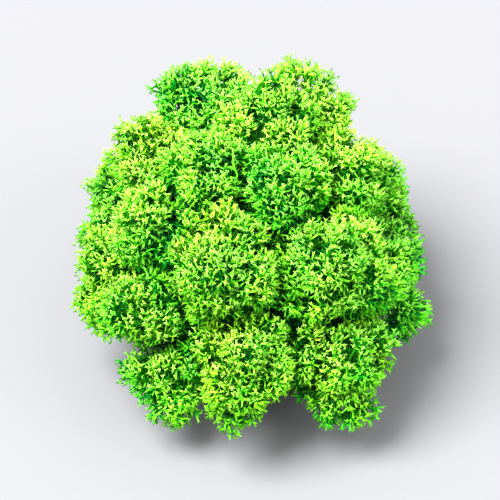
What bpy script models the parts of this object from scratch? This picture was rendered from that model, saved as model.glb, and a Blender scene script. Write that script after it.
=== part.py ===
# Reindeer moss clump: a tuft of star-tipped lichen plants whose round heads press together.
# Metres, +Z up. It rests on the picked ends of its stems, and its front is the -Y side.

import math
import random

import bmesh
import bpy
from mathutils import Matrix, Vector

MM = 0.001

# Middle of the clump, which the open branchlets face away from
CLUMP_MIDDLE = Vector((0.0, 0.0, 0.014))

# Where the stems' lines would meet, under the surface that the clump rests on
GATHER_POINT = Vector((0.0, 0.002, -0.015))

# Clearances: between two plants, and from a low branch to the surface
PLANT_GAP = 0.34 * MM
FLOOR_CLEARANCE = 1.2 * MM

# Stems: their radius at the picked end and where they widen into the head
STEM_FOOT_RADIUS = 2.1 * MM
STEM_NECK_RADIUS = 1.5 * MM
STEM_NECK_DROP = 1.35
LEAST_NECK_HEIGHT = 2.6 * MM

# Heads: lobes are balls set round the head's middle, and everything is a share of its radius.
# The dense middle is a share of the lobed reach, and the underside is drawn down to the stem.
LOBE_OFFSET = 0.46
LOBE_RADII = (0.52, 0.62)
LOBE_HEIGHTS = (0.25, 0.6)
LOBE_SCATTER = 0.15
TOP_LOBE_LEAN = 0.3
VALLEY_SHARE = 0.72
CORE_SHARE = 0.76
UNDERSIDE_STRETCH = 1.5

# Branchlets: the head's surface is shared out in cells, and each open cell rises as one stalk that
# narrows to a neck and forks there into a whorl of pointed prongs round an open middle. A cell is
# left flat only where a neighbour's dense middle presses on it or where it faces into the clump.
WHORL_SPACING = 5.8 * MM
CELL_JITTER = 0.16
LOWEST_CELL = -0.9
INWARD_LIMIT = -0.15
NECK_HEIGHT = 0.45
NECK_SHARE = 0.55
AXIL_HEIGHT = 0.3
PRONG_SPREAD = 0.68
PRONG_JITTER = 0.06
LEAST_RISE = 0.7 * MM
OPEN_ROOM = 1.6 * MM
PRESSED_DEPTH = 1.0 * MM
PRESSED_MARGIN = 1.2 * MM

GOLDEN_ANGLE = math.pi * (3 - math.sqrt(5))

# Heads as (x, y, z of the middle, radius, lobes) in millimetres
HEADS = {
    "head_front_low": (-1.5, -20.5, 15.0, 10.4, 5),
    "head_front_left": (-15.0, -14.0, 18.5, 9.8, 4),
    "head_shoulder_left": (-14.0, -6.5, 27.0, 9.4, 4),
    "head_front_centre": (-3.5, -15.0, 26.0, 11.0, 5),
    "head_front_right": (11.0, -11.5, 23.0, 12.7, 6),
    "head_shoulder_right_near": (5.5, -3.5, 32.0, 9.4, 4),
    "head_shoulder_right_far": (14.5, 2.5, 28.0, 10.0, 5),
    "head_dome_front": (-6.0, 0.0, 33.5, 9.6, 4),
    "head_dome_left": (-13.0, 7.5, 28.0, 10.4, 5),
    "head_dome_top": (3.0, 8.0, 33.5, 10.5, 5),
    "head_dome_back": (-6.0, 15.5, 30.5, 11.0, 5),
    "head_back_right": (8.5, 17.5, 26.0, 11.0, 5),
    "head_right_low_far": (17.0, 12.0, 15.0, 9.9, 4),
    "head_right_low_near": (18.0, -3.0, 13.0, 9.9, 4),
    "head_front_right_low": (11.5, -18.5, 11.5, 9.8, 4),
    "head_front_left_low": (-12.0, -17.5, 9.5, 8.6, 4),
    "head_left_low": (-17.5, -1.5, 14.5, 10.4, 5),
    "head_back_left_low": (-15.5, 14.0, 14.0, 10.5, 5),
    "head_back_low": (-3.5, 24.0, 15.0, 10.5, 5),
    "head_back_right_low": (10.5, 21.5, 11.0, 9.6, 4),
}

# Dyed moss greens, each head a little yellower or bluer than the next
MOSS_GREENS = ((0.22, 0.56, 0.03), (0.13, 0.44, 0.03), (0.30, 0.62, 0.04), (0.10, 0.38, 0.05))
MOSS_ROUGHNESS = 0.8


class Head:
    """One plant's head: its middle, its own upright direction, its reach and the walls of its room."""

    def __init__(self, name, order):
        x, y, z, radius, lobes = HEADS[name]
        self.name = name
        self.order = order
        self.middle = Vector((x, y, z)) * MM
        self.radius = radius * MM
        self.axis = (self.middle - GATHER_POINT).normalized()
        self.distance = (self.middle - GATHER_POINT).length
        self.draw = random.Random(name)
        twist = Matrix.Rotation(self.draw.uniform(0, math.tau), 3, "Z")
        self.turn = self.axis.to_track_quat("Z", "Y").to_matrix() @ twist
        self.lobes = [(self.turn @ towards, size) for towards, size in lobes_of(lobes, self.draw)]
        self.walls = []

    def facing(self, length, direction):
        """How much a place on the head faces out of the clump, from -1 to 1."""
        return direction.dot((self.middle + direction * length - CLUMP_MIDDLE).normalized())

    def reach(self, direction):
        """How far the head's outer surface is from its middle."""
        lobed = VALLEY_SHARE
        for towards, size in self.lobes:
            along = LOBE_OFFSET * towards.dot(direction)
            inside = size**2 - LOBE_OFFSET**2 + along**2
            if inside > 0:
                lobed = max(lobed, along + math.sqrt(inside))
        below = max(0.0, -direction.dot(self.axis))
        drawn_down = 1 / math.sqrt(1 - below**2 + (below / UNDERSIDE_STRETCH) ** 2)
        return self.radius * lobed * drawn_down


def lobes_of(count, draw):
    """One lobe that leans from the top and the rest in an uneven ring below it."""
    yield Vector((TOP_LOBE_LEAN, 0.0, 1.0)).normalized(), draw.uniform(*LOBE_RADII)
    for k in range(count - 1):
        around = math.tau * (k + 0.5 + draw.uniform(-LOBE_SCATTER, LOBE_SCATTER)) / (count - 1)
        height = draw.uniform(*LOBE_HEIGHTS)
        yield Vector((math.cos(around), math.sin(around), height)).normalized(), draw.uniform(*LOBE_RADII)


def spread_directions(count, lowest):
    """Evenly spread directions, from straight up down to the height lowest."""
    for k in range(count):
        height = 1 - (1 - lowest) * (k + 0.5) / count
        across = math.sqrt(1 - height * height)
        around = k * GOLDEN_ANGLE
        yield Vector((across * math.cos(around), across * math.sin(around), height))


def set_walls(heads):
    """Gives each head a room of its own: flat walls that all pass through the gather point,
    each one between two heads and nearer to the smaller, and the surface below."""
    for head in heads:
        head.walls.append((Vector((0, 0, 1)), FLOOR_CLEARANCE))
        for other in heads:
            if other is head:
                continue
            angle = head.axis.angle(other.axis)
            own = head.radius / head.distance
            theirs = other.radius / other.distance
            share = angle * own / (own + theirs)
            across = (other.axis - head.axis * head.axis.dot(other.axis)).normalized()
            inward = head.axis * math.sin(share) - across * math.cos(share)
            head.walls.append((inward, GATHER_POINT.dot(inward) + PLANT_GAP / 2))


def clear_length(start, direction, walls):
    """How far one can go from start before coming to a wall."""
    longest = math.inf
    for inward, level in walls:
        slope = direction.dot(inward)
        if slope < 0:
            longest = min(longest, max(0.0, start.dot(inward) - level) / -slope)
    return longest


def pressed(point, head, heads):
    """Whether the dense middle of another head is well behind a wall at this point."""
    for other in heads:
        if other is head:
            continue
        out = point - other.middle
        towards = out.normalized()
        filled = min(CORE_SHARE * other.reach(towards), clear_length(other.middle, towards, other.walls))
        if out.length < filled - PRESSED_MARGIN:
            return True
    return False


def core_length(direction, head, heads):
    """How far the dense middle goes: to the wall where a neighbour presses on it, else less."""
    room = clear_length(head.middle, direction, head.walls)
    if not pressed(head.middle + direction * (room + PRESSED_DEPTH), head, heads):
        room -= OPEN_ROOM
    return min(CORE_SHARE * head.reach(direction), room)


def object_from(name, form, collection):
    mesh = bpy.data.meshes.new(name)
    form.normal_update()
    form.to_mesh(mesh)
    form.free()
    made = bpy.data.objects.new(name, mesh)
    collection.objects.link(made)
    return made


def cells_of(head):
    """Shares the directions round a head out in cells. Each is (centre, corners in order), where a
    corner is the number of a direction in the second list. The first cell is the stem's."""
    sphere_area = 4 * math.pi * head.radius**2
    cell_area = math.sqrt(0.75) * WHORL_SPACING**2
    count = round(sphere_area / cell_area)
    form = bmesh.new()
    form.verts.new((0, 0, -1))
    for direction in spread_directions(count, LOWEST_CELL):
        shift = Vector([head.draw.gauss(0, CELL_JITTER) for _ in range(3)]) / math.sqrt(count)
        form.verts.new((direction + shift).normalized())
    bmesh.ops.convex_hull(form, input=form.verts[:])
    form.faces.index_update()
    centres = [face.calc_center_median().normalized() for face in form.faces]
    corners = [head.turn @ centre for centre in centres]
    cells = []
    for vert in form.verts:
        out = vert.co.normalized()
        right = out.orthogonal().normalized()
        ahead = out.cross(right)
        numbers = [face.index for face in vert.link_faces]
        numbers.sort(key=lambda number: math.atan2(centres[number].dot(ahead), centres[number].dot(right)))
        cells.append((head.turn @ out, numbers))
    form.free()
    return cells, corners


def add_stem(form, head, ring):
    """Carries the cell's ring of corners down to the flat picked end."""
    foot = GATHER_POINT + head.axis * (-GATHER_POINT.z / head.axis.z)
    neck = head.middle - head.axis * (STEM_NECK_DROP * head.radius)
    if neck.z < LEAST_NECK_HEIGHT:
        neck = foot + head.axis * (LEAST_NECK_HEIGHT / head.axis.z)
    side_walls = head.walls[1:]
    centre = sum((vert.co for vert in ring), Vector()) / len(ring)
    rings = [ring]
    for middle, radius, upright in (
        (neck, STEM_NECK_RADIUS, head.axis),
        (foot, STEM_FOOT_RADIUS, Vector((0, 0, 1))),
    ):
        lower = []
        for vert in ring:
            aside = vert.co - centre
            aside = (aside - upright * aside.dot(upright)).normalized()
            length = min(radius, clear_length(middle, aside, side_walls))
            lower.append(form.verts.new(middle + aside * length))
        rings.append(lower)
    for upper, lower in zip(rings, rings[1:]):
        for k in range(len(ring)):
            after = (k + 1) % len(ring)
            form.faces.new((upper[k], upper[after], lower[after], lower[k]))
    form.faces.new(rings[-1])


def add_whorl(form, head, centre, ring):
    """Raises a cell as a stalk that forks into prongs, or leaves it flat where a wall is too near."""
    count = len(ring)
    base = [vert.co - head.middle for vert in ring]
    lengths = [corner.length for corner in base]
    corners = [corner.normalized() for corner in base]
    tips = []
    for k in range(count):
        edge = (corners[k] + corners[(k + 1) % count]).normalized()
        towards = centre.lerp(edge, PRONG_SPREAD).normalized()
        full = head.reach(towards) * (1 + head.draw.uniform(-PRONG_JITTER, PRONG_JITTER))
        tips.append((towards, min(full, clear_length(head.middle, towards, head.walls))))
    rises = [min(tips[k][1], tips[k - 1][1]) - lengths[k] for k in range(count)]
    if min(rises) < LEAST_RISE or head.facing(max(lengths), centre) < INWARD_LIMIT:
        form.faces.new(ring)
        return
    fork = []
    for corner, length, rise in zip(corners, lengths, rises):
        inner = centre.lerp(corner, NECK_SHARE).normalized()
        fork.append(form.verts.new(head.middle + inner * (length + NECK_HEIGHT * rise)))
    axil = sum(lengths) / count + AXIL_HEIGHT * min(rises)
    middle = form.verts.new(head.middle + centre * axil)
    for k, (towards, length) in enumerate(tips):
        after = (k + 1) % count
        tip = form.verts.new(head.middle + towards * length)
        form.faces.new((ring[k], ring[after], fork[after], fork[k]))
        form.faces.new((fork[k], fork[after], tip))
        form.faces.new((fork[after], middle, tip))
        form.faces.new((middle, fork[k], tip))


def add_head(head, heads, collection):
    """The whole plant as one closed body."""
    cells, corners = cells_of(head)
    form = bmesh.new()
    verts = []
    for corner in corners:
        verts.append(form.verts.new(head.middle + corner * core_length(corner, head, heads)))
    for order, (centre, ring) in enumerate(cells):
        ring = [verts[number] for number in ring]
        if order == 0:
            add_stem(form, head, ring)
        else:
            add_whorl(form, head, centre, ring)
    bmesh.ops.triangulate(form, faces=form.faces[:])
    return object_from(head.name, form, collection)


def moss_material(name, colour):
    material = bpy.data.materials.new(name)
    material.use_nodes = True
    surface = material.node_tree.nodes["Principled BSDF"]
    surface.inputs["Base Color"].default_value = (*colour, 1)
    surface.inputs["Roughness"].default_value = MOSS_ROUGHNESS
    surface.inputs["Metallic"].default_value = 0
    return material


def centre_over_origin(plants):
    """Moves the clump so that the origin is under the middle of its width and depth."""
    for side in (0, 1):
        low = min(vert.co[side] for plant in plants for vert in plant.data.vertices)
        high = max(vert.co[side] for plant in plants for vert in plant.data.vertices)
        for plant in plants:
            for vert in plant.data.vertices:
                vert.co[side] -= (low + high) / 2


def main():
    for old in list(bpy.data.objects):
        bpy.data.objects.remove(old, do_unlink=True)
    heads = [Head(name, order) for order, name in enumerate(HEADS)]
    set_walls(heads)
    greens = [moss_material(f"moss_green_{k + 1}", colour) for k, colour in enumerate(MOSS_GREENS)]
    plants = []
    for head in heads:
        plant = add_head(head, heads, bpy.context.scene.collection)
        plant.data.materials.append(greens[head.order % len(greens)])
        plants.append(plant)
    centre_over_origin(plants)


main()
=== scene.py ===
import math
import random

import bmesh
import bpy
import numpy as np
from mathutils import Matrix, Vector


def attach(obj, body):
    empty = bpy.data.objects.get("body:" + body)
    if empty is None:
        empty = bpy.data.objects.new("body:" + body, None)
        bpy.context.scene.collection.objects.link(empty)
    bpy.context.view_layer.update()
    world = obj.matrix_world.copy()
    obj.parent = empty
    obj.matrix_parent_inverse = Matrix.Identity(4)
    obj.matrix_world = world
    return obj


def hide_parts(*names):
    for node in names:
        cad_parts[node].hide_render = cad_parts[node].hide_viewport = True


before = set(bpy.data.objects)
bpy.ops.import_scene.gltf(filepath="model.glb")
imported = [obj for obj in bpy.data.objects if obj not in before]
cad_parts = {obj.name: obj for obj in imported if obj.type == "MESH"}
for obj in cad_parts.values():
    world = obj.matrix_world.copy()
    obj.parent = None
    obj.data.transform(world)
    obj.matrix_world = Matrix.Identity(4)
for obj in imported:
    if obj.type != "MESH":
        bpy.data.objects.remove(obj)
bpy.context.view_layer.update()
mm = 0.001
sparser = 1.0
tiny = 1e-9
farAway = 9.0  # m, where no wall is in the way


# Where the plants stand, in millimetres
clump = {
    "shift": (-0.150, -1.473, 0.0),  # puts the clump's middle over the origin
    "gather": (0.0, 2.0, -15.0),  # where the stems' lines would meet
    "gap": 0.1,  # between two plants
    "floorGap": 0.35,
    "toneStep": 0.381966,  # golden steps, so that no two neighbours are alike
    "airyStep": 0.618034,
    "airyStart": 0.3,
    "seed": 100,
    "heads": {  # middle (x, y, z), radius and number of lobes of each
        "head_front_low": (-1.5, -20.5, 15.0, 10.4, 5),
        "head_front_left": (-15.0, -14.0, 18.5, 9.8, 4),
        "head_shoulder_left": (-14.0, -6.5, 27.0, 9.4, 4),
        "head_front_centre": (-3.5, -15.0, 26.0, 11.0, 5),
        "head_front_right": (11.0, -11.5, 23.0, 12.7, 6),
        "head_shoulder_right_near": (5.5, -3.5, 32.0, 9.4, 4),
        "head_shoulder_right_far": (14.5, 2.5, 28.0, 10.0, 5),
        "head_dome_front": (-6.0, 0.0, 33.5, 9.6, 4),
        "head_dome_left": (-13.0, 7.5, 28.0, 10.4, 5),
        "head_dome_top": (3.0, 8.0, 33.5, 10.5, 5),
        "head_dome_back": (-6.0, 15.5, 30.5, 11.0, 5),
        "head_back_right": (8.5, 17.5, 26.0, 11.0, 5),
        "head_right_low_far": (17.0, 12.0, 15.0, 9.9, 4),
        "head_right_low_near": (18.0, -3.0, 13.0, 9.9, 4),
        "head_front_right_low": (11.5, -18.5, 11.5, 9.8, 4),
        "head_front_left_low": (-12.0, -17.5, 9.5, 8.6, 4),
        "head_left_low": (-17.5, -1.5, 14.5, 10.4, 5),
        "head_back_left_low": (-15.5, 14.0, 14.0, 10.5, 5),
        "head_back_low": (-3.5, 24.0, 15.0, 10.5, 5),
        "head_back_right_low": (10.5, 21.5, 11.0, 9.6, 4),
    },
}

# Lobes of a head, as shares of its radius
lobes = {
    "offset": 0.46,
    "radii": (0.52, 0.62),
    "heights": (0.25, 0.6),
    "scatter": 0.15,
    "topLean": 0.3,
    "valley": 0.72,  # least reach, between the lobes
    "underStretch": 1.5,
    "creaseDepth": 0.19,  # between two lobes
    "creaseWidth": 0.08,
    "lumpHeight": 0.06,
    "lumpLength": (4.0, 8.0),  # mm from one lump to the next
    "lumpWaves": 6,
    "lumpSeed": 500,
}

# How far two neighbours' heads grow together into one skin
skin = {
    "topShare": 0.9,  # of a head's radius, at which the skin lies above its middle
    "merge": (-0.5, 1.0),  # none below 0
    "width": 3.5,  # mm from the seam
    "most": 3.0,  # mm that a head is raised
    "rounds": 3,  # each comes closer to the skin
}


class Head:
    def __init__(self, order, name):
        x, y, z, radius, count = clump["heads"][name]
        self.name = name
        self.order = order
        self.gather = (np.array(clump["gather"]) + clump["shift"]) * mm
        self.middle = (np.array((x, y, z)) + clump["shift"]) * mm
        self.radius = radius * mm
        out = self.middle - self.gather
        self.distance = np.linalg.norm(out)
        self.axis = out / self.distance
        draw = random.Random(name)
        twist = Matrix.Rotation(draw.uniform(0, math.tau), 3, "Z")
        turn = Vector(self.axis).to_track_quat("Z", "Y").to_matrix() @ twist
        lean = Vector((lobes["topLean"], 0.0, 1.0)).normalized()
        found = [(turn @ lean, draw.uniform(*lobes["radii"]))]
        for k in range(count - 1):
            scatter = draw.uniform(-lobes["scatter"], lobes["scatter"])
            around = math.tau * (k + 0.5 + scatter) / (count - 1)
            height = draw.uniform(*lobes["heights"])
            towards = Vector((math.cos(around), math.sin(around), height)).normalized()
            found.append((turn @ towards, draw.uniform(*lobes["radii"])))
        self.lobeWays = np.array([towards[:] for towards, size in found])
        self.lobeSizes = np.array([size for towards, size in found])
        self.tone = (order * clump["toneStep"]) % 1  # from yellow-green to cool green
        self.airy = (order * clump["airyStep"] + clump["airyStart"]) % 1  # how open its sides are
        rng = np.random.default_rng(lobes["lumpSeed"] + order)
        waves = lobes["lumpWaves"]
        across = unit(rng.normal(size=(waves, 3)))
        self.lumpWays = across * (math.tau / (rng.uniform(*lobes["lumpLength"], (waves, 1)) * mm))
        self.lumpStarts = rng.uniform(0, math.tau, waves)

    def lobeLengths(self, ways):  # out to the far side of each lobe, or 0 where the way misses it
        along = lobes["offset"] * self.lobeWays @ ways.T
        inside = self.lobeSizes[:, None] ** 2 - lobes["offset"] ** 2 + along**2
        return np.where(inside > 0, along + np.sqrt(np.maximum(inside, 0)), 0)

    def reach(self, ways):  # distance from the middle to the lobed outer surface, and whose lobe it is
        lengths = self.lobeLengths(ways)
        furthest = lengths.max(axis=0)
        owner = np.where(furthest > lobes["valley"], lengths.argmax(axis=0), -1)
        below = np.maximum(0, -ways @ self.axis)
        drawnDown = 1 / np.sqrt(1 - below**2 + (below / lobes["underStretch"]) ** 2)
        return self.radius * np.maximum(furthest, lobes["valley"]) * drawnDown, owner

    def surface(self, ways):  # the reach grown into its neighbours, with creases and lumps
        lengths, owner = self.reach(ways)
        valley = np.full((2, len(ways)), lobes["valley"])
        best = np.sort(np.vstack([self.lobeLengths(ways), valley]), axis=0)
        crease = lobes["creaseDepth"] * np.exp(-(((best[-1] - best[-2]) / lobes["creaseWidth"]) ** 2))
        lengths = self.merged(ways, lengths)
        waves = np.sin((self.middle + ways * lengths[:, None]) @ self.lumpWays.T + self.lumpStarts).sum(1)
        lump = lobes["lumpHeight"] * waves / math.sqrt(lobes["lumpWaves"] / 2)
        return lengths * (1 - crease + lump), owner

    def merged(self, ways, lengths):  # raised to the clump's skin beside a neighbour it grows into
        places = self.middle + ways * lengths[:, None]
        depths = np.maximum(places @ self.walls[:, :3].T - self.walls[:, 3], 0)
        near = (self.merges * np.exp(-((depths / (skin["width"] * mm)) ** 2))).max(axis=1)
        rise = self.toSkin(ways, lengths) - lengths
        return lengths + np.clip(rise, 0, skin["most"] * mm) * near

    def toSkin(self, ways, lengths):
        out = self.middle - self.gather
        slope = ways @ out
        for _ in range(skin["rounds"]):
            skinAt = self.skinDistance(unit(out + ways * lengths[:, None]))
            inside = slope**2 - self.distance**2 + skinAt**2
            lengths = np.maximum(np.sqrt(np.maximum(inside, 0)) - slope, 0)
        return lengths

    def skinDistance(self, ways):  # from the gathering point, blended from the heads nearby
        tops = np.array([head.distance + head.radius * skin["topShare"] for head in self.all])
        widths = np.array([head.radius / head.distance for head in self.all])
        turns = 2 * (1 - ways @ np.array([head.axis for head in self.all]).T)
        weights = np.exp(-turns / widths**2) + tiny
        return (weights * tops).sum(1) / weights.sum(1)

    def open(self, ways):  # how much of the way out is free of other heads, 0 to 1
        weights = np.exp((ways @ self.gridWays.T - 1) * sight["sharpness"])
        return (weights * self.gridOpen).sum(1) / weights.sum(1)

    def room(self, ways):  # how far one can go from the middle before a neighbour's wall
        slopes = ways @ self.walls[:, :3].T
        depths = self.walls[:, :3] @ self.middle - self.walls[:, 3]
        lengths = np.where(slopes < -tiny, np.maximum(depths, 0) / np.maximum(-slopes, tiny), farAway)
        return lengths.min(axis=1)


def setWalls(heads):
    for head in heads:
        walls = [(0, 0, 1, clump["floorGap"] * mm)]
        merges = [0.0]
        for other in heads:
            if other is head:
                continue
            angle = math.acos(min(1, head.axis @ other.axis))
            own = head.radius / head.distance
            share = angle * own / (own + other.radius / other.distance)
            across = other.axis - head.axis * (head.axis @ other.axis)
            across /= np.linalg.norm(across)
            inward = head.axis * math.sin(share) - across * math.cos(share)
            walls.append((*inward, head.gather @ inward + clump["gap"] * mm / 2))
            draw = random.Random(" ".join(sorted((head.name, other.name))))
            merges.append(max(0, draw.uniform(*skin["merge"])))
        head.walls = np.array(walls)
        head.merges = np.array(merges)
        head.all = heads


def unit(vectors):
    return vectors / np.maximum(np.linalg.norm(vectors, axis=-1, keepdims=True), 1e-12)


def sideways(ways):  # two directions square to each way
    steep = np.abs(ways[:, 2:]) >= 0.8
    helper = np.where(steep, [[1.0, 0.0, 0.0]], [[0.0, 0.0, 1.0]])
    right = unit(np.cross(ways, helper))
    return right, np.cross(ways, right)


def evenWays(count):  # ways spread evenly over a sphere
    k = np.arange(count) + 0.5
    height = 1 - 2 * k / count
    around = math.pi * (1 + math.sqrt(5)) * k
    level = np.sqrt(1 - height**2)
    return np.stack([level * np.cos(around), level * np.sin(around), height], axis=1)


sight = {
    "ways": 48,
    "steps": (0.9, 1.8, 3.2, 5.0, 8.0, 12.0),  # mm out from the surface
    "dense": 0.92,  # share of a head's reach that nothing is seen through
    "nearby": 1.6,  # radii from a head's middle that it can reach
    "wrap": 0.1,  # how far below its own horizon a point looks
    "facets": 3,  # times that the ball of looking points is divided
    "sharpness": 300.0,  # how little one such point blurs into the next
}


def setOpen(head):  # looks out from points all over the head's surface
    form = bmesh.new()
    bmesh.ops.create_icosphere(form, subdivisions=sight["facets"], radius=1)
    head.gridWays = unit(np.array([v.co[:] for v in form.verts]))
    head.gridFaces = np.array([[v.index for v in f.verts] for f in form.faces])
    form.free()
    ways = head.gridWays
    lengths = np.minimum(head.surface(ways)[0], head.room(ways))
    places = head.middle + ways * lengths[:, None]
    looks = evenWays(sight["ways"])
    weights = np.maximum(ways @ looks.T + sight["wrap"], 0)
    steps = np.array(sight["steps"]) * mm
    points = places[:, None, None] + looks[None, :, None] * steps[None, None, :, None]
    closed = np.zeros(points.shape[:3], bool)
    for other in head.all:
        if other is head:
            continue
        out = points - other.middle
        length = np.linalg.norm(out, axis=3)
        near = length < other.radius * sight["nearby"]
        ways = out[near] / length[near][:, None]
        filled = np.minimum(other.reach(ways)[0] * sight["dense"], other.room(ways))
        closed[near] |= length[near] < filled
    seen = ~closed.any(axis=2)
    head.gridOpen = (weights * seen).sum(1) / weights.sum(1)


def thinOut(places, spacing):  # keeps places that are at least the spacing apart
    cells = {}
    kept = []
    for number, place in enumerate(places):
        key = tuple(int(math.floor(c / spacing)) for c in place)
        near = (
            other
            for dx in (-1, 0, 1)
            for dy in (-1, 0, 1)
            for dz in (-1, 0, 1)
            for other in cells.get((key[0] + dx, key[1] + dy, key[2] + dz), ())
        )
        clear = all(
            (place[0] - o[0]) ** 2 + (place[1] - o[1]) ** 2 + (place[2] - o[2]) ** 2 > spacing**2
            for o in near
        )
        if clear:
            cells.setdefault(key, []).append(place)
            kept.append(number)
    return np.array(kept, int)


class Growth:  # collects tapered tubes, then makes one mesh of them
    def __init__(self):
        self.points = []
        self.faces = []
        self.paints = []
        self.count = 0

    def tubes(self, paths, radii, sides, paintedShades, strands, pointed):
        number, rings, _ = paths.shape
        if number == 0:
            return
        tangents = np.empty_like(paths)
        tangents[:, 1:-1] = paths[:, 2:] - paths[:, :-2]
        tangents[:, 0] = paths[:, 1] - paths[:, 0]
        tangents[:, -1] = paths[:, -1] - paths[:, -2]
        tangents = unit(tangents)
        right, _ = sideways(tangents[:, 0])
        drawnRings = rings - 1 if pointed else rings
        angles = math.tau * np.arange(sides) / sides
        made = []
        for k in range(drawnRings):
            t = tangents[:, k]
            r = unit(right - t * (right * t).sum(1, keepdims=True))
            u = np.cross(t, r)
            ring = r[:, None] * np.cos(angles)[None, :, None] + u[:, None] * np.sin(angles)[None, :, None]
            made.append(paths[:, k, None] + ring * radii[:, k, None, None])
        each = drawnRings * sides + (1 if pointed else 0)
        points = np.concatenate(made, axis=1)
        if pointed:
            points = np.concatenate([points, paths[:, -1:, :]], axis=1)
        faces = []
        for k in range(drawnRings - 1):
            for s in range(sides):
                a, b = k * sides + s, k * sides + (s + 1) % sides
                faces.append((a, b, b + sides))
                faces.append((a, b + sides, a + sides))
        last = (drawnRings - 1) * sides
        for s in range(1, sides - 1):
            faces.append((0, s + 1, s))
            if not pointed:
                faces.append((last, last + s, last + s + 1))
        if pointed:
            for s in range(sides):
                faces.append((last + s, last + (s + 1) % sides, each - 1))
        ringShade = np.repeat(paintedShades[:, :drawnRings], sides, axis=1)
        if pointed:
            ringShade = np.concatenate([ringShade, paintedShades[:, -1:]], axis=1)
        self.keep(points, faces, ringShade, strands)

    def prongs(self, starts, bends, ends, radii, rises, spreads, paintedShades, strands):  # each with three teeth
        way = unit(ends - bends)
        right, ahead = sideways(way)
        corners = [right * math.cos(turn) + ahead * math.sin(turn) for turn in math.tau / 6 * np.arange(6)]
        rings = [
            middle + corner * radius
            for middle, radius in zip((starts, bends, ends), radii)
            for corner in corners[::2]
        ]
        axil = ends - way * radii[-1] * plant["axilDrop"]
        tips = [
            ends + way * rises[:, s, None] + corner * spreads[:, s, None]
            for s, corner in enumerate(corners[1::2])
        ]
        points = np.stack([*rings, axil, *tips], axis=1)
        faces = [(0, 2, 1)]  # rings from 0, 3 and 6, the axil is 9, and the teeth end at 10, 11 and 12
        for a, b, tip in ((0, 1, 10), (1, 2, 11), (2, 0, 12)):
            for ring in (0, 3):
                faces += [(a + ring, b + ring, b + ring + 3), (a + ring, b + ring + 3, a + ring + 3)]
            faces += [(a + 6, b + 6, tip), (b + 6, 9, tip), (9, a + 6, tip)]
        growth = paintedShades[:, [0, 0, 0, 1, 1, 1, 2, 2, 2, 2, 3, 3, 3]]
        self.keep(points, faces, growth, strands)

    def keep(self, points, faces, paintedShades, strands):  # painted shade for each point, strands for each tube
        number, each, _ = points.shape
        faces = np.array(faces)[None] + (self.count + each * np.arange(number))[:, None, None]
        paint = np.concatenate([paintedShades[:, :, None], np.repeat(strands[:, None], each, axis=1)], axis=2)
        self.points.append(points.reshape(-1, 3))
        self.faces.append(faces.reshape(-1, 3))
        self.paints.append(paint.reshape(-1, 3))
        self.count += number * each

    def piece(self, name, material):
        points = np.concatenate(self.points)
        points[:, 2] = np.maximum(points[:, 2], 0)  # flat where it rests on the floor
        faces = np.concatenate(self.faces)
        paints = np.concatenate(self.paints)
        mesh = bpy.data.meshes.new(name)
        mesh.vertices.add(len(points))
        mesh.vertices.foreach_set("co", points.astype(np.float32).ravel())
        mesh.loops.add(len(faces) * 3)
        mesh.loops.foreach_set("vertex_index", faces.astype(np.int32).ravel())
        mesh.polygons.add(len(faces))
        mesh.polygons.foreach_set("loop_start", np.arange(0, len(faces) * 3, 3, dtype=np.int32))
        mesh.update(calc_edges=True)
        mesh.polygons.foreach_set("use_smooth", np.ones(len(faces), bool))
        # Red is painted shade: dark deep in, in the seams and on the sides, light at the tips and on top
        layer = mesh.color_attributes.new("growth", "FLOAT_COLOR", "POINT")
        colours = np.ones((len(points), 4), np.float32)
        colours[:, 0:3] = paints
        layer.data.foreach_set("color", colours.ravel())
        mesh.materials.append(material)
        made = bpy.data.objects.new(name, mesh)
        bpy.context.scene.collection.objects.link(made)
        return made


def curve(starts, ends, startWays, endWays, rings, bow=0.7):  # smooth paths from parent to child
    length = np.linalg.norm(ends - starts, axis=1, keepdims=True)
    t = np.linspace(0, 1, rings)[None, :, None]
    s, e = starts[:, None], ends[:, None]
    m0, m1 = (startWays * length * bow)[:, None], (endWays * length * bow)[:, None]
    return (
        (2 * t**3 - 3 * t**2 + 1) * s + (t**3 - 2 * t**2 + t) * m0
        + (3 * t**2 - 2 * t**3) * e + (t**3 - t**2) * m1
    )


def linear(code):  # sRGB hex to linear
    channels = [int(code[k:k + 2], 16) / 255 for k in (1, 3, 5)]
    return (*[c / 12.92 if c <= 0.04045 else ((c + 0.055) / 1.055) ** 2.4 for c in channels], 1.0)


def addNode(tree, kind, settings=None, links=None):
    node = tree.nodes.new(kind)
    for key, value in (settings or {}).items():
        if key in node.inputs:
            node.inputs[key].default_value = value
        else:
            setattr(node, key, value)
    for key, source in (links or {}).items():
        tree.links.new(source, node.inputs[key])
    return node


lichen = {
    # where each colour stands on the painted shade, from 0 deep in the core to 1 at the lit tips
    "stops": ((0.06, "core"), (0.34, "inner"), (0.66, "middle"), (0.86, "outer"), (1.0, "tip")),
    "core": "#064a02",
    "inner": "#188404",
    "middle": "#5fca18",
    "outer": "#98f52f",
    "tip": "#b1fd6a",
    "roughness": 0.72,
    "ior": 1.45,
    "specular": 0.1,  # the pores swallow most of the sheen
    "mottle": 1.6,  # mm across a fleck of colour
    "mottleValue": {"From Min": 0.3, "From Max": 0.7, "To Min": 0.78, "To Max": 1.2},
    "patch": 8.0,  # mm across an area that took the dye alike
    "patchValue": {"From Min": 0.36, "From Max": 0.64, "To Min": 1.13, "To Max": 0.87},
    "patchHue": {"From Min": 0.36, "From Max": 0.64, "To Min": -0.01, "To Max": 0.014},
    "strandValue": {"To Min": 0.68, "To Max": 1.26},
    "strandHue": {"To Min": 0.484, "To Max": 0.528},  # 0.5 leaves the colour as it is
    "felt": 0.25,  # mm, cottony threads, drawn coarse enough to show
    "feltHeight": 0.05,  # mm
    "feltStrength": 0.35,
}


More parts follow.
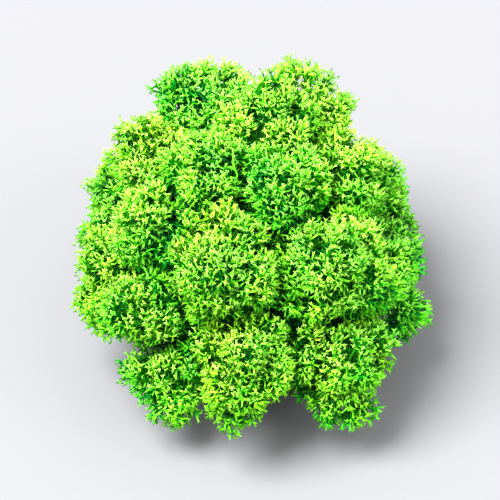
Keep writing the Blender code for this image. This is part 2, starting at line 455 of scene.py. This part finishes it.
def dyedLichen():
    # Reindeer lichen, grown, softened in glycerine and dyed in a bath: matt and felted, with flecks and
    # soft patches where it took the dye unevenly; darker low down and deep in as painted shade, lighter on
    # top as painted light
    material = bpy.data.materials.new("dyed_reindeer_lichen")
    material.use_nodes = True
    tree = material.node_tree
    tree.nodes.clear()
    # the painted shade, read from the mesh
    growth = addNode(tree, "ShaderNodeAttribute", {"attribute_name": "growth"})
    parts = addNode(tree, "ShaderNodeSeparateColor", links={"Color": growth.outputs["Color"]})
    ramp = addNode(tree, "ShaderNodeValToRGB", links={"Fac": parts.outputs["Red"]})
    elements = ramp.color_ramp.elements
    while len(elements) < len(lichen["stops"]):
        elements.new(0.5)
    for element, (place, name) in zip(elements, lichen["stops"]):
        element.position = place
        element.color = linear(lichen[name])
    place = addNode(tree, "ShaderNodeTexCoord")
    mottle = addNode(
        tree, "ShaderNodeTexNoise",
        {"Scale": 1 / (lichen["mottle"] * mm), "Detail": 3.0},
        {"Vector": place.outputs["Object"]},
    )
    shade = addNode(tree, "ShaderNodeMapRange", lichen["mottleValue"], {"Value": mottle.outputs["Fac"]})
    strand = addNode(tree, "ShaderNodeMapRange", lichen["strandValue"], {"Value": parts.outputs["Green"]})
    value = addNode(
        tree, "ShaderNodeMath", {"operation": "MULTIPLY"},
        {0: shade.outputs["Result"], 1: strand.outputs["Result"]},
    )
    patch = addNode(
        tree, "ShaderNodeTexNoise",
        {"Scale": 1 / (lichen["patch"] * mm), "Detail": 1.0},
        {"Vector": place.outputs["Object"]},
    )
    depth = addNode(tree, "ShaderNodeMapRange", lichen["patchValue"], {"Value": patch.outputs["Fac"]})
    dyed = addNode(
        tree, "ShaderNodeMath", {"operation": "MULTIPLY"},
        {0: value.outputs["Value"], 1: depth.outputs["Result"]},
    )
    hue = addNode(tree, "ShaderNodeMapRange", lichen["strandHue"], {"Value": parts.outputs["Blue"]})
    warmth = addNode(tree, "ShaderNodeMapRange", lichen["patchHue"], {"Value": patch.outputs["Fac"]})
    turned = addNode(
        tree, "ShaderNodeMath", {"operation": "ADD"},
        {0: hue.outputs["Result"], 1: warmth.outputs["Result"]},
    )
    colour = addNode(
        tree, "ShaderNodeHueSaturation", {"Saturation": 1.0},
        {"Hue": turned.outputs["Value"], "Value": dyed.outputs["Value"], "Color": ramp.outputs["Color"]},
    )
    felt = addNode(
        tree, "ShaderNodeTexNoise",
        {"Scale": 1 / (lichen["felt"] * mm), "Detail": 2.0},
        {"Vector": place.outputs["Object"]},
    )
    bump = addNode(
        tree, "ShaderNodeBump",
        {"Strength": lichen["feltStrength"], "Distance": lichen["feltHeight"] * mm},
        {"Height": felt.outputs["Fac"]},
    )
    surface = addNode(
        tree, "ShaderNodeBsdfPrincipled",
        {"Roughness": lichen["roughness"], "IOR": lichen["ior"], "Specular IOR Level": lichen["specular"]},
        {"Base Color": colour.outputs["Color"], "Normal": bump.outputs["Normal"]},
    )
    addNode(tree, "ShaderNodeOutputMaterial", links={"Surface": surface.outputs["BSDF"]})
    return material


plant = {
    "whorlSpacing": 1.22,  # mm between two stars of branchlets
    "starDepth": 0.78,  # mm from the outer surface down to the fork
    "starWidth": 0.8,  # mm from the fork out to the end of a prong
    "starSize": (0.85, 1.15),
    "prongs": (3, 6),  # at least, and fewer than
    "prongWidth": (0.75, 1.25),
    "prongDepth": (0.65, 1.1),
    "prongRadius": (0.16, 0.14, 0.15),  # mm at the fork, the bend and the end
    "prongTurn": 0.05,  # how uneven they stand round the fork
    "forkRadius": 0.04,  # mm from the middle of the fork to where a prong starts
    "bendOut": 0.75,  # share of the way out that a prong has gone by its bend
    "bendUp": 0.4,
    "crooked": 0.16,  # mm that bends and tips stray
    "toothLength": 0.34,
    "toothSpread": 0.48,  # mm out from the prong's line
    "toothSize": (0.55, 1.15),
    "toothOpen": (0.5, 1.3),
    "axilDrop": 0.3,  # share of a prong's radius that its end dips between the teeth
    "stalkRadius": (0.23, 0.18),  # mm at its two ends
    "stalkSides": 3,
    "stalkWaver": 0.1,
    "floretPull": 0.1,  # how far the stars on one limb draw together
    "floretDome": 1.2,  # mm that the outermost of them sit lower
    "floretLean": 0.5,
    "turnWeight": 2.0,  # mm that stars facing apart count as being apart
    "limbSpacing": 3.2,  # mm between the forks of the second order
    "limbDepth": 2.6,
    "limbRadius": (0.34, 0.22),
    "boughSpacing": 6.5,  # and of the third
    "boughDepth": 4.6,
    "boughRadius": (0.5, 0.38),
    "limbWaver": 0.12,
    "limbSize": (0.8, 1.2),
    "hubDrop": 0.3,  # share of the radius that the main fork lies below the middle
    "innerLayers": ((0.89, 1.45), (0.78, 1.65), (0.65, 1.9)),  # share of the reach, spacing
    "innerProngs": 4,
    "coreShare": 0.5,  # of the reach, where it could be seen
    "coreClear": 2.0,  # mm from a wall that can be seen
    "coreShareCovered": 0.82,  # where neighbours hide it
    "coreOpen": 0.09,  # how open a place is that hides it halfway
    "coreFade": 1.5,  # times as open, and it could be seen
    "coreGap": 0.1,  # mm from a wall
    "coreLeast": 0.3,
    "coreBumps": (6, 9.0, 0.1),  # waves, how close they are and how high
    "shoulder": 1.0,  # mm, how softly a head rounds off beside its neighbour
    "crossing": (0.1, 0.7),  # mm that tips may reach over the seam
    "lobedArea": 1.4,  # of a head's surface, for a ball's 1
    "tries": 7,  # places tried for each star
    "uneven": 0.028,  # share of the reach by which stars stand in or out
    "unevenMost": (-2.5, 2),
    "strays": 0.03,  # share of the stars that stand out of the head
    "strayAbove": 0.1,  # of the radius, since low on the head none stands out
    "strayLength": (0.04, 0.11),  # as shares of the reach
    "topLoss": 0.09,  # share of the stars that are missing on top
    "sideLoss": 0.62,  # and low on the head, at most
    "lossStart": 0.1,  # how high up it begins to grow
    "lossAiry": 0.5,  # higher on an airy head
    "lossSlope": 0.8,
    "innerLoss": 0.5,  # share of that loss in the lower layers
    "outMix": (0.8, 0.3),  # stars face away from their lobe's middle and from the head's
    "tilt": 0.22,
    "leastOpen": 0.02,  # below this a star would never be seen
}

# Painted shade: how bright each kind of branch is, 0 in the core, deep in the shade, and 1 at the lit tips
tint = {
    "prong": (0.42, 0.78, 0.94, 1.0),  # fork, bend, end and teeth
    "prongNoise": (0.15, 0.04),
    "stalk": (0.18, 0.42),
    "innerStalk": (0.12, 0.26),
    "innerProng": (0.22, 0.52),
    "limb": (0.22, 0.42),
    "bough": (0.1, 0.25),
    "core": (0.06, (0.4, 0.3)),  # painted shade near black, then light and cool
    "coolHead": 0.5,  # how much of the cool tone comes from the head, the side it faces (painted shade cooler on the sides, partly bleached tops), and chance
    "coolSide": 0.3,
    "coolNoise": 0.1,
    "seam": 0.36,  # painted shade: what is left of the brightness deep in a seam
    "open": 0.44,  # painted light that an open place adds
    "top": 0.2,  # painted light that the top adds, with the bleaching of upturned tips
    "fullyOpen": 0.5,
    "topFrom": 0.4,
}


def softLeast(one, other, width):  # the smaller of two lengths, rounded where they are alike
    return -width * np.logaddexp(-one / width, -other / width)


def surfacePlaces(rng, head, share, spacing):
    area = 4 * math.pi * (head.radius * share / mm) ** 2 * plant["lobedArea"]
    ways = unit(rng.normal(size=(int(plant["tries"] * area / spacing**2), 3)))
    open = head.open(ways)
    ways, open = ways[open > plant["leastOpen"]], open[open > plant["leastOpen"]]
    reach, owner = head.surface(ways)
    uneven = 1 + np.clip(rng.normal(size=len(ways)), *plant["unevenMost"]) * plant["uneven"]
    stray = (rng.uniform(size=len(ways)) < plant["strays"]) & (ways @ head.axis > plant["strayAbove"])
    uneven += stray * rng.uniform(*plant["strayLength"], len(ways)) * (share == 1)
    length = softLeast(reach * uneven, head.room(ways), plant["shoulder"] * mm) * share
    places = head.middle + ways * length[:, None]
    kept = thinOut(places, spacing * mm)
    side = plant["lossStart"] + plant["lossAiry"] * head.airy - ways[kept] @ head.axis
    loss = np.clip(side * plant["lossSlope"], plant["topLoss"], plant["sideLoss"])
    kept = kept[rng.uniform(size=len(kept)) > loss * (1 if share == 1 else plant["innerLoss"])]
    ways, places, owner, open = ways[kept], places[kept], owner[kept], open[kept]
    centres = np.where(
        (owner >= 0)[:, None],
        head.middle + head.lobeWays[owner] * (lobes["offset"] * head.radius),
        head.middle,
    )
    fromLobe, fromHead = plant["outMix"]
    tilt = rng.normal(size=places.shape) * plant["tilt"]
    out = unit(unit(places - centres) * fromLobe + ways * fromHead + tilt)
    return places, out, open


def groupUnder(places, out, spacing, depth, hub):  # joins neighbours to a fork deeper in
    seeds = thinOut(places, spacing * mm)
    near = ((places[:, None] - places[seeds][None]) ** 2).sum(2)
    near += (1 - out @ out[seeds].T) * (plant["turnWeight"] * mm) ** 2
    owner = near.argmin(1)
    count = len(seeds)
    totals = np.zeros((count, 3))
    ways = np.zeros((count, 3))
    np.add.at(totals, owner, places)
    np.add.at(ways, owner, out)
    tallies = np.bincount(owner, minlength=count)[:, None]
    means = totals / tallies
    ways = unit(ways)
    towards = unit(hub - means)
    forks = means + unit(towards - ways) * (depth * mm)
    return forks, unit(ways - towards), means, owner


def stayInside(head, points, slack):
    for wall in head.walls:
        depth = points @ wall[:3] - wall[3] + slack
        points = points + wall[:3] * np.maximum(-depth, 0)[..., None]
    return points


def growHead(head, material):
    rng = np.random.default_rng(clump["seed"] + head.order)
    made = Growth()
    hub = head.middle - head.axis * (plant["hubDrop"] * head.radius)

    # stars of branchlets over the whole head
    places, out, open = surfacePlaces(rng, head, 1.0, plant["whorlSpacing"] * sparser)
    limbs, limbWays, limbTops, limbOf = groupUnder(
        places, out, plant["limbSpacing"], plant["limbDepth"], hub
    )
    boughs, boughWays, _, boughOf = groupUnder(
        limbTops, limbWays, plant["boughSpacing"], plant["boughDepth"], hub
    )
    fromTop = places - limbTops[limbOf]
    off = np.linalg.norm(fromTop, axis=1, keepdims=True) / (plant["limbSpacing"] * mm)
    places = places - fromTop * plant["floretPull"] - out * (off**2 * plant["floretDome"] * mm)
    out = unit(out + unit(fromTop) * off * plant["floretLean"])
    addStars(made, rng, head, places, out, limbs[limbOf], limbWays[limbOf], open)

    # lower layers fill in behind them
    for number, (share, spacing) in enumerate(plant["innerLayers"]):
        places, out, open = surfacePlaces(rng, head, share, spacing * sparser)
        nodes, ways = (limbs, limbWays) if number < 2 else (boughs, boughWays)
        nearest = ((places[:, None] - nodes[None]) ** 2).sum(2).argmin(1)
        addTwigs(made, rng, head, places, out, nodes[nearest], ways[nearest], open, share)

    # limbs, boughs and the main fork
    hubs, hubWays = np.tile(hub, (len(boughs), 1)), np.tile(head.axis, (len(boughs), 1))
    for starts, startWays, ends, endWays, radii, rings, sides, growth in (
        (boughs[boughOf], boughWays[boughOf], limbs, limbWays, plant["limbRadius"], 4, 4, tint["limb"]),
        (hubs, hubWays, boughs, boughWays, plant["boughRadius"], 5, 5, tint["bough"]),
    ):
        paths = curve(starts, ends, startWays, endWays, rings)
        paths[:, 1:-1] += rng.normal(size=paths[:, 1:-1].shape) * plant["limbWaver"] * mm
        widths = np.linspace(*radii, rings)[None] * rng.uniform(*plant["limbSize"], (len(ends), 1)) * mm
        paintedShades = np.tile(np.linspace(*growth, rings), (len(ends), 1))
        made.tubes(paths, widths, sides, paintedShades, strandPaint(rng, head, endWays), pointed=False)

    addCore(made, rng, head)
    addStem(made, rng, head, hub)
    addThreads(made, rng, head)
    piece = made.piece(head.name.replace("head_", "lichen_"), material)
    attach(piece, "root")
    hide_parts(head.name)


def strandPaint(rng, head, out):  # how light each strand is, and how cool its green, painted cooler on the sides as shade
    light = rng.uniform(size=len(out))
    cool = tint["coolHead"] * head.tone + tint["coolSide"] * (1 - out[:, 2])
    cool = cool + rng.normal(size=len(out)) * tint["coolNoise"]
    return np.clip(np.stack([light, cool], axis=1), 0, 1)


def shaded(paintedShades, open, out):  # painted shade: greener and darker in the seams and on the sides than on top
    top = np.clip(out[:, 2] + tint["topFrom"], 0, 1)
    light = tint["seam"] + tint["open"] * np.minimum(open / tint["fullyOpen"], 1) + tint["top"] * top
    return paintedShades * light[:, None]


def spokes(rng, forks, out, counts, scale):  # prongs that stand round each fork
    star = np.repeat(np.arange(len(out)), counts)
    turnWithin = np.concatenate([np.arange(n) / n for n in counts])
    start = rng.uniform(size=len(out))[star]
    stray = rng.normal(size=len(star)) * plant["prongTurn"]
    around = math.tau * (turnWithin + start + stray)
    right, ahead = sideways(out)
    aside = right[star] * np.cos(around)[:, None] + ahead[star] * np.sin(around)[:, None]
    width = plant["starWidth"] * mm * scale[star] * rng.uniform(*plant["prongWidth"], (len(star), 1))
    height = plant["starDepth"] * mm * scale[star] * rng.uniform(*plant["prongDepth"], (len(star), 1))
    slack = rng.uniform(*plant["crossing"], len(star)) * mm
    starts = forks[star] + aside * plant["forkRadius"] * mm
    return star, starts, aside * width, out[star] * height, slack


def addStars(made, rng, head, places, out, parents, parentWays, open):
    count = len(places)
    scale = rng.uniform(*plant["starSize"], (count, 1))
    forks = places - out * (plant["starDepth"] * scale * mm)
    paint = strandPaint(rng, head, out)
    stalks = curve(parents, forks, parentWays, out, 3)
    stalks[:, 1] += rng.normal(size=(count, 3)) * plant["stalkWaver"] * mm
    radii = np.tile(np.linspace(*plant["stalkRadius"], 3), (count, 1)) * mm
    paintedShades = np.tile(np.linspace(*tint["stalk"], 3), (count, 1))
    made.tubes(stalks, radii, plant["stalkSides"], shaded(paintedShades, open, out), paint, pointed=False)
    counts = rng.integers(*plant["prongs"], size=count)
    star, starts, aside, up, slack = spokes(rng, forks, out, counts, scale)
    stray = rng.normal(size=(2, len(star), 3)) * plant["crooked"] * mm
    bends = stayInside(head, starts + aside * plant["bendOut"] + up * plant["bendUp"] + stray[0], slack)
    ends = stayInside(head, starts + aside + up + stray[1], slack)
    paint = np.clip(paint[star] + rng.normal(size=(len(star), 2)) * tint["prongNoise"], 0, 1)
    rises = plant["toothLength"] * mm * rng.uniform(*plant["toothSize"], (len(star), 3))
    spreads = plant["toothSpread"] * mm * rng.uniform(*plant["toothOpen"], (len(star), 3))
    radii = np.array(plant["prongRadius"]) * mm
    paintedShades = shaded(np.tile(tint["prong"], (len(star), 1)), open[star], out[star])
    made.prongs(starts, bends, ends, radii, rises, spreads, paintedShades, paint)


def addTwigs(made, rng, head, places, out, parents, parentWays, open, share):  # plain stars, lower down
    count = len(places)
    scale = rng.uniform(*plant["starSize"], (count, 1))
    forks = places - out * (plant["starDepth"] * scale * mm)
    paint = strandPaint(rng, head, out)
    stalks = curve(parents, forks, parentWays, out, 2)
    radii = np.tile(np.linspace(*plant["stalkRadius"], 2), (count, 1)) * mm
    # painted shade: each lower layer is darker by its share of the reach
    paintedShades = np.tile(tint["innerStalk"], (count, 1)) * share
    made.tubes(stalks, radii, plant["stalkSides"], shaded(paintedShades, open, out), paint, pointed=False)
    counts = np.full(count, plant["innerProngs"])
    star, starts, aside, up, slack = spokes(rng, forks, out, counts, scale)
    ends = stayInside(head, starts + aside + up, slack)
    radii = np.tile((plant["prongRadius"][0], 0), (len(star), 1)) * mm
    paintedShades = shaded(np.tile(tint["innerProng"], (len(star), 1)) * share, open[star], out[star])
    paths = np.stack([starts, ends], axis=1)
    made.tubes(paths, radii, plant["stalkSides"], paintedShades, paint[star], pointed=True)


def addCore(made, rng, head):  # small and dark, behind the branches: painted shade that fills the deep gaps and hides what lies behind
    ways = head.gridWays
    reach, _ = head.reach(ways)
    room = head.room(ways) - plant["coreGap"] * mm
    waves, turns, height = plant["coreBumps"]
    bumps = np.sin(ways @ (rng.normal(size=(3, waves)) * turns) + rng.uniform(0, 6, waves)).sum(1)
    bumps = 1 + height * bumps / (waves / 2)
    seen = np.minimum(reach * plant["coreShare"] * bumps, room - plant["coreClear"] * mm)
    covered = np.minimum(reach * plant["coreShareCovered"], room)
    cover = np.clip(plant["coreFade"] - head.gridOpen / plant["coreOpen"], 0, 1)
    length = np.maximum(seen + (covered - seen) * cover, plant["coreLeast"] * mm)
    points = head.middle + ways * length[:, None]
    growth, paint = tint["core"]
    made.keep(points[None], head.gridFaces, np.full((1, len(points)), growth), np.array([paint]))


threads = {
    "chance": 0.35,  # that a bare, broken off length lies over a head
    "length": (4.0, 8.0),
    "radius": 0.12,
    "sides": 4,
    "lean": 0.5,
    "cling": 0.65,  # share of the way that it bends down to the head's surface
    "waver": 0.15,
    "sink": (0.1, 1.2),  # mm into the stars at its middle, and more at its ends
    "growth": (0.7, 0.8, 0.85, 0.9, 0.9),
}


def addThreads(made, rng, head):
    count = int(rng.uniform() < threads["chance"])
    rings = len(threads["growth"])
    ways = unit(head.axis + rng.normal(size=(count, 3)) * threads["lean"])
    right, ahead = sideways(ways)
    turn = rng.uniform(0, math.tau, (count, 1))
    along = right * np.cos(turn) + ahead * np.sin(turn)
    half = rng.uniform(*threads["length"], (count, 1, 1)) * mm / 2
    middles = head.middle + ways * np.minimum(head.surface(ways)[0], head.room(ways))[:, None]
    t = np.linspace(-1, 1, rings)[None, :, None]
    paths = middles[:, None] + along[:, None] * half * t
    out = unit(paths - head.middle)
    flat = out.reshape(-1, 3)
    skins = np.minimum(head.surface(flat)[0], head.room(flat)).reshape(count, rings, 1)
    paths = (1 - threads["cling"]) * paths + threads["cling"] * (head.middle + out * skins)
    paths = paths + rng.normal(size=paths.shape) * threads["waver"] * mm
    paths -= out * (threads["sink"][0] + threads["sink"][1] * t**4) * mm  # the stars catch both ends
    radii = np.full((count, rings), threads["radius"]) * mm
    paintedShades = np.tile(threads["growth"], (count, 1))
    made.tubes(paths, radii, threads["sides"], paintedShades, strandPaint(rng, head, ways), pointed=False)


stem = {
    "strands": 7,
    "rings": 10,
    "sides": 5,
    "radius": (0.38, 0.3),
    "size": (0.75, 1.2),
    "uneven": 0.6,  # how unevenly they stand round the stem's line
    "spread": (1.5, 1.1),  # mm from the stem's line, at the floor and at the hub
    "waver": 0.45,
    "waverTurns": (6, 11),
    "growth": (0.14, 0.32),
    "leastTwigs": 15,  # on each strand
    "twigSpacing": 0.7,
    "twigReach": (1.2, 3.2),
    "twigPart": (0.12, 0.95),  # of a strand's length
    "twigTurn": 0.5,
    "twigRise": 0.6,
    "twigOpen": 0.3,  # painted shade on the twigs: as dark as if that much of the way out were free
    "twigShare": 0.6,
}


def addStem(made, rng, head, hub):
    foot = head.gather + head.axis * (-head.gather[2] / head.axis[2])
    count, rings = stem["strands"], stem["rings"]
    around = math.tau * (np.arange(count) + rng.uniform(size=count) * stem["uneven"]) / count
    right, ahead = sideways(head.axis[None])
    aside = right * np.cos(around)[:, None] + ahead * np.sin(around)[:, None]
    level = unit(aside - np.array((0, 0, 1.0)) * aside[:, 2:])
    t = np.linspace(0, 1, rings)[None, :, None]
    spread = (stem["spread"][0] + (stem["spread"][1] - stem["spread"][0]) * t) * mm
    waver = sum(
        np.sin(t * turns + rng.uniform(0, math.tau, (count, 1, 3)))
        for turns in stem["waverTurns"]
    )
    paths = foot + (hub - foot) * t + level[:, None] * spread + waver * stem["waver"] * mm
    radii = np.linspace(*stem["radius"], rings)[None] * rng.uniform(*stem["size"], (count, 1)) * mm
    paths[:, :, 2] = np.maximum(paths[:, :, 2], 0)
    paths[:, 0, 2] = 0.0
    paintedShades = np.tile(np.linspace(*stem["growth"], rings), (count, 1))
    paint = strandPaint(rng, head, aside + head.axis)
    made.tubes(paths, radii, stem["sides"], paintedShades, paint, pointed=False)

    # side twigs
    twigs = max(stem["leastTwigs"], int(np.linalg.norm(hub - foot) / (stem["twigSpacing"] * mm)))
    strand = np.repeat(np.arange(count), twigs)
    along = rng.uniform(*stem["twigPart"], len(strand)) * (rings - 1)
    low = along.astype(int)
    parents = paths[strand, low] + (paths[strand, low + 1] - paths[strand, low]) * (along - low)[:, None]
    turn = rng.normal(size=(len(strand), 3)) * stem["twigTurn"]
    out = unit(aside[strand] + turn + head.axis * stem["twigRise"])
    reach = rng.uniform(*stem["twigReach"], len(strand)) * mm
    places = stayInside(head, parents + out * reach[:, None], 0)
    open = np.full(len(strand), stem["twigOpen"])
    addTwigs(made, rng, head, places, out, parents, out, open, stem["twigShare"])


heads = [Head(order, name) for order, name in enumerate(clump["heads"])]
setWalls(heads)
for head in heads:
    setOpen(head)
print("clump laid out")
material = dyedLichen()
for head in heads:
    growHead(head, material)
print("plants grown")

studio = {
    "floor": "#7d7d80",
    "floorSide": 12.0,  # m
    "floorRoughness": 0.9,
    "sky": 1.36,
    "key": (249.0, 1.8, (-1.2, -0.48, 2.48)),  # watts, metres across, place
    "fill": (17.1, 1.5, (1.5, -0.9, 1.2)),
    "elevation": 42.4,
    "roll": -1.7,
    "distance": 0.619,
    "frameWidth": 0.0765,  # m that the frame takes in at that distance
    "sensorWidth": 36.0,
    "clip": (0.01, 10.0),
    "aim": (0.0, -0.002, 0.0195),
}


def addFloor():
    # A sweep of matt paper: one even tone with no edge, so that only the soft shadow shows
    mesh = bpy.data.meshes.new("floor")
    side = studio["floorSide"] / 2
    corners = [(-side, -side, 0), (side, -side, 0), (side, side, 0), (-side, side, 0)]
    mesh.from_pydata(corners, [], [(0, 1, 2, 3)])
    floor = bpy.data.objects.new("floor", mesh)
    bpy.context.scene.collection.objects.link(floor)
    material = bpy.data.materials.new("matt_paper_sweep")
    material.use_nodes = True
    surface = material.node_tree.nodes["Principled BSDF"]
    surface.inputs["Base Color"].default_value = linear(studio["floor"])
    surface.inputs["Roughness"].default_value = studio["floorRoughness"]
    mesh.materials.append(material)


def addLight(name, power, size, place):
    light = bpy.data.lights.new(name, "AREA")
    light.shape = "DISK"
    light.size = size
    light.energy = power
    made = bpy.data.objects.new(name, light)
    bpy.context.scene.collection.objects.link(made)
    made.location = place
    made.rotation_euler = (Vector(studio["aim"]) - Vector(place)).to_track_quat("-Z", "Y").to_euler()


def addCamera():
    lens = bpy.data.cameras.new("camera")
    camera = bpy.data.objects.new("camera", lens)
    bpy.context.scene.collection.objects.link(camera)
    tilt = math.radians(studio["elevation"])
    back = Vector((0, -math.cos(tilt), math.sin(tilt)))
    camera.location = Vector(studio["aim"]) + back * studio["distance"]
    turn = (-back).to_track_quat("-Z", "Y").to_matrix()
    camera.rotation_euler = (turn @ Matrix.Rotation(math.radians(studio["roll"]), 3, "Z")).to_euler()
    lens.sensor_width = studio["sensorWidth"]
    lens.lens = studio["sensorWidth"] * studio["distance"] / studio["frameWidth"]
    lens.clip_start, lens.clip_end = studio["clip"]
    bpy.context.scene.camera = camera


addFloor()
addLight("key_softbox", *studio["key"])
addLight("fill_softbox", *studio["fill"])
world = bpy.data.worlds.new("studio")
world.use_nodes = True
world.node_tree.nodes["Background"].inputs["Color"].default_value = (1, 1, 1, 1)
world.node_tree.nodes["Background"].inputs["Strength"].default_value = studio["sky"]
bpy.context.scene.world = world
addCamera()
bpy.context.scene.view_settings.view_transform = "Standard"
print("studio set")
